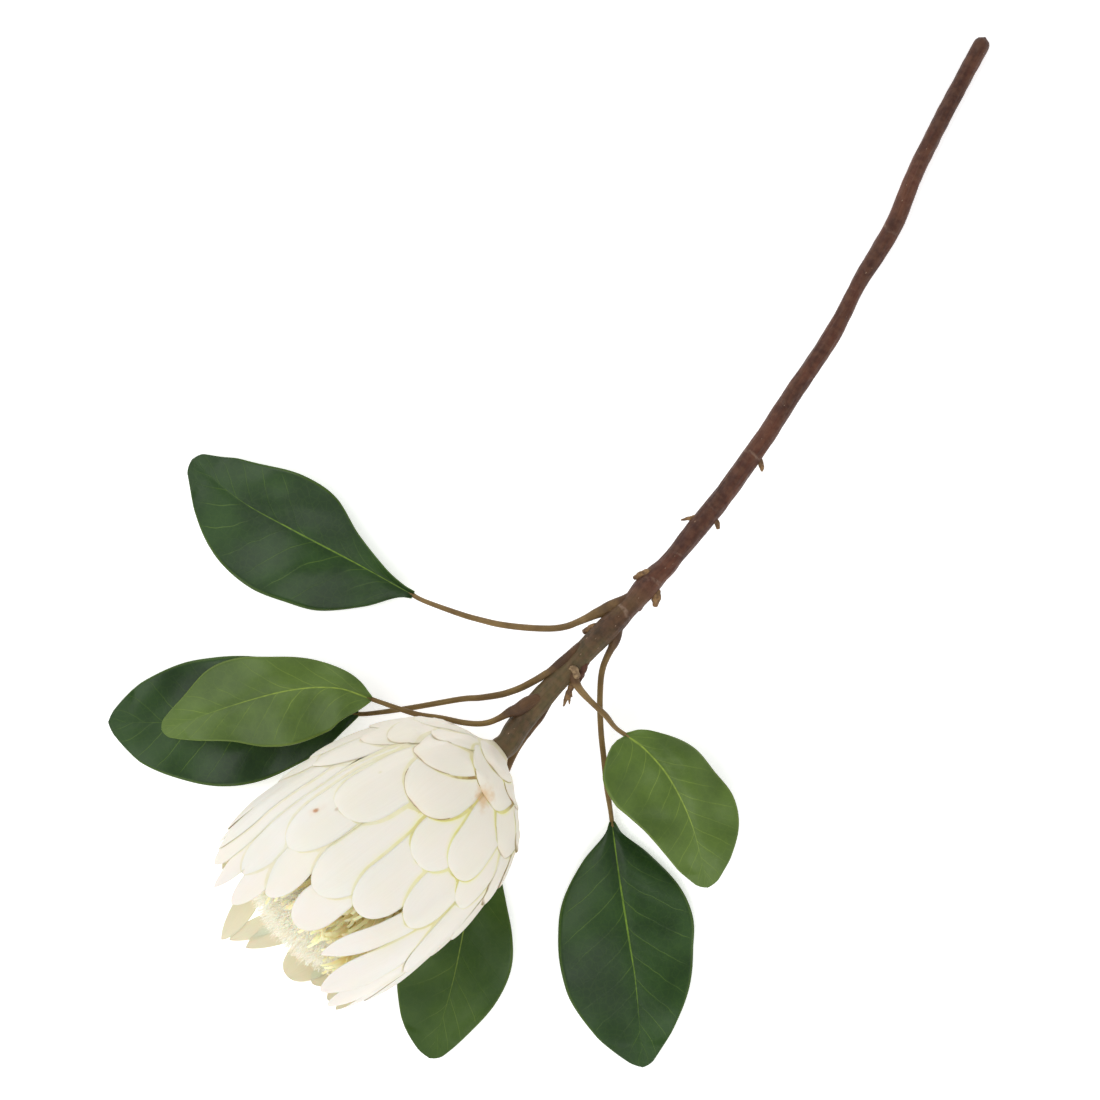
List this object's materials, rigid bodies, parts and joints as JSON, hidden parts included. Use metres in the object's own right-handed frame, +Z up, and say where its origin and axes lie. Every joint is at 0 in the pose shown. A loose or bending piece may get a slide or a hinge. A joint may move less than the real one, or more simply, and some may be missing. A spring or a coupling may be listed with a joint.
{
  "type": "protea flower",
  "caption": "Cut protea stem lying on its side: woody cane, stalked oval leaves and one large cup-shaped white flower head with tiled bracts round a mass of florets.",
  "frame": {"origin": "centre of the whole part's box, at the level of the surface it lies on", "axes": "+Z up from the surface; +Y from the mouth of the flower towards the cut end of the cane; +X to the right of that, seen from above"},
  "size_m": [0.3737, 0.5907, 0.1181],
  "materials": {
    "bark": "matt reddish brown bark, turning olive near the head",
    "stalk": "satin olive tan",
    "leaf_dark": "satin dark green with a pale midrib and side veins",
    "leaf_light": "satin mid green with a pale midrib and side veins",
    "bracts": "matt creamy white, yellow green at the roots, with brown edges near the cane",
    "florets": "soft cream yellow threads with white woolly tips"
  },
  "bodies": {
    "root": {"stem": "bark", "leaf_stalk_1": "stalk", "leaf_stalk_2": "stalk", "leaf_stalk_3": "stalk", "leaf_stalk_4": "stalk", "leaf_stalk_5": "stalk", "leaf_stalk_6": "stalk", "leaf_blade_1": "leaf_dark", "leaf_blade_2": "leaf_dark", "leaf_blade_3": "leaf_light", "leaf_blade_4": "leaf_light", "leaf_blade_5": "leaf_dark", "leaf_blade_6": "leaf_light", "bracts": "bracts", "florets": "florets"}
  },
  "joints": []
}
